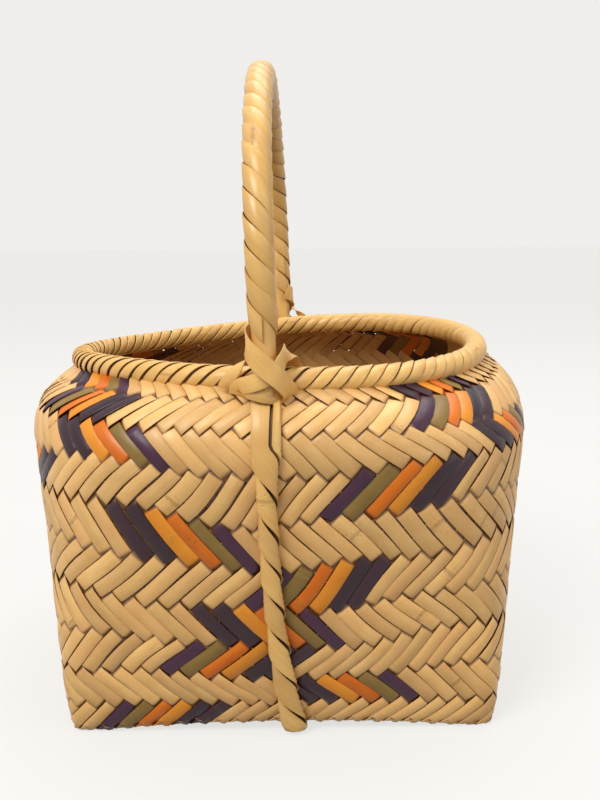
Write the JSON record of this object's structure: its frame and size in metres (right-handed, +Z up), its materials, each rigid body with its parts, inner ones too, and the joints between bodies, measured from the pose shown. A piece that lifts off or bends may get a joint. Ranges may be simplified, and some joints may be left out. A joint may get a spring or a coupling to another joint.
{
  "type": "woven basket with bow handle",
  "caption": "Split cane basket with a square foot, swelling twill woven walls, a round bound rim and a fixed wrapped bow handle.",
  "frame": {"origin": "on the ground under the middle of the foot", "axes": "+Z up; the handle spans front to back along Y; +X to the right seen from the front"},
  "size_m": [0.176, 0.1812, 0.2229],
  "materials": {
    "cane_weave": "satin",
    "cane_hoop": "satin",
    "cane_binding": "satin"
  },
  "bodies": {
    "root": {"woven_body": "cane_weave", "woven_edge": "cane_weave", "rim_outer_hoop": "cane_hoop", "rim_inner_hoop": "cane_hoop", "rim_lashing_1": "cane_binding", "rim_lashing_2": "cane_binding", "rim_lashing_3": "cane_binding", "rim_lashing_4": "cane_binding", "handle_outer_splint": "cane_hoop", "handle_inner_splint": "cane_hoop", "handle_wrap_1": "cane_binding", "handle_wrap_2": "cane_binding", "handle_wrap_3": "cane_binding", "front_cross_strap_falling": "cane_binding", "front_cross_strap_rising": "cane_binding", "front_side_tie": "cane_binding", "front_neck_band": "cane_binding", "back_cross_strap_falling": "cane_binding", "back_cross_strap_rising": "cane_binding", "back_side_tie": "cane_binding", "back_neck_band": "cane_binding", "front_strand": "cane_binding", "back_strand": "cane_binding", "base_strand": "cane_binding"}
  },
  "joints": []
}
